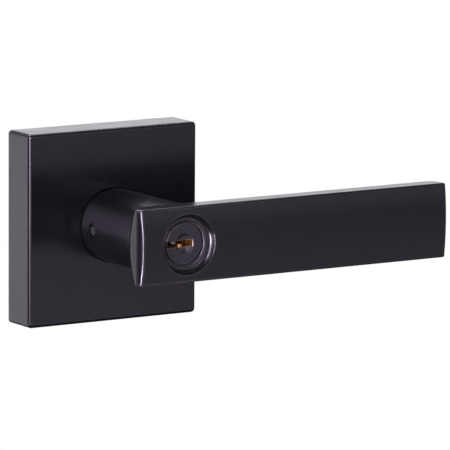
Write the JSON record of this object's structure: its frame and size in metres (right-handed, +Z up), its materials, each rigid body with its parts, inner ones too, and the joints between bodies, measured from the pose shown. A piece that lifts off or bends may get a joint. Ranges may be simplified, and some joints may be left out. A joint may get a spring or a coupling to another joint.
{
  "type": "keyed lever handle lockset",
  "caption": "Outside half of a keyed lever handle lockset: square rose, round neck, flat bar lever and a key cylinder in a round dish; held on a door by through-bolts.",
  "frame": {"origin": "on the spindle axis, at the rose's back face, which lies on the door", "axes": "+Y into the door along the spindle axis, so the front faces -Y; +X along the lever to its free end; +Z up"},
  "size_m": [0.1384, 0.1077, 0.067],
  "materials": {
    "rose_black": "satin black",
    "lever_black": "satin black",
    "shell_black": "satin black over brass",
    "catch_steel": "dull",
    "plate_zinc": "bright zinc plate",
    "post_zinc": "bright zinc plate",
    "cage_zinc": "yellow zinc plate",
    "rivet_steel": "plain",
    "spring_steel": "dark spring wire",
    "bush_bronze": "sintered bronze",
    "bush_nylon": "natural nylon",
    "washer_nylon": "natural nylon",
    "tube_zinc": "bright zinc plate",
    "cam_zinc": "bright zinc plate",
    "ring_black_steel": "black oxide",
    "spindle_zinc": "bright zinc plate",
    "pin_brass": "turned",
    "pin_spring_steel": "spring wire",
    "cover_brass": "plain",
    "retainer_steel": "black oxide",
    "catch_spring_steel": "spring steel",
    "plug_brass": "brass with a black face",
    "key_pin_brass": "turned",
    "clip_steel": "black oxide",
    "blade_steel": "zinc plate",
    "cross_pin_steel": "plain"
  },
  "bodies": {
    "chassis": {"rose": "rose_black", "mounting_plate": "plate_zinc", "mounting_posts": "post_zinc", "spring_cage": "cage_zinc", "cage_rivets": "rivet_steel", "return_spring": "spring_steel", "plate_bush": "bush_bronze", "cage_bush": "bush_nylon", "thrust_washer": "washer_nylon"},
    "lever": {"lever_handle": "lever_black", "spindle_tube": "tube_zinc", "driver_cam": "cam_zinc", "retaining_ring": "ring_black_steel", "drive_spindle": "spindle_zinc", "cylinder_shell": "shell_black", "driver_pins": "pin_brass", "pin_springs": "pin_spring_steel", "pin_cover": "cover_brass", "cylinder_retainer": "retainer_steel", "catch_spring": "catch_spring_steel"},
    "catch": {"lever_catch": "catch_steel"},
    "plug": {"plug": "plug_brass", "key_pins": "key_pin_brass", "plug_clip": "clip_steel", "tailpiece": "blade_steel", "tailpiece_pin": "cross_pin_steel"}
  },
  "joints": [
    {"name": "lever_turn", "type": "hinge", "parent": "chassis", "child": "lever", "pos_m": [0, 0, 0], "axis": [0, 1, 0], "range_deg": [-50, 50], "stiffness_Nm_per_rad": 1, "springref_deg": -6.3, "deforming": ["return_spring"]},
    {"name": "plug_turn", "type": "hinge", "parent": "lever", "child": "plug", "pos_m": [0, 0, 0], "axis": [0, 1, 0], "range_deg": [-90, 90]},
    {"name": "catch_press", "type": "slide", "parent": "lever", "child": "catch", "axis": [1, 0, 0], "range_m": [0, 0.0017], "stiffness_N_per_m": 1500, "springref_m": -0.001, "deforming": ["catch_spring"]}
  ]
}
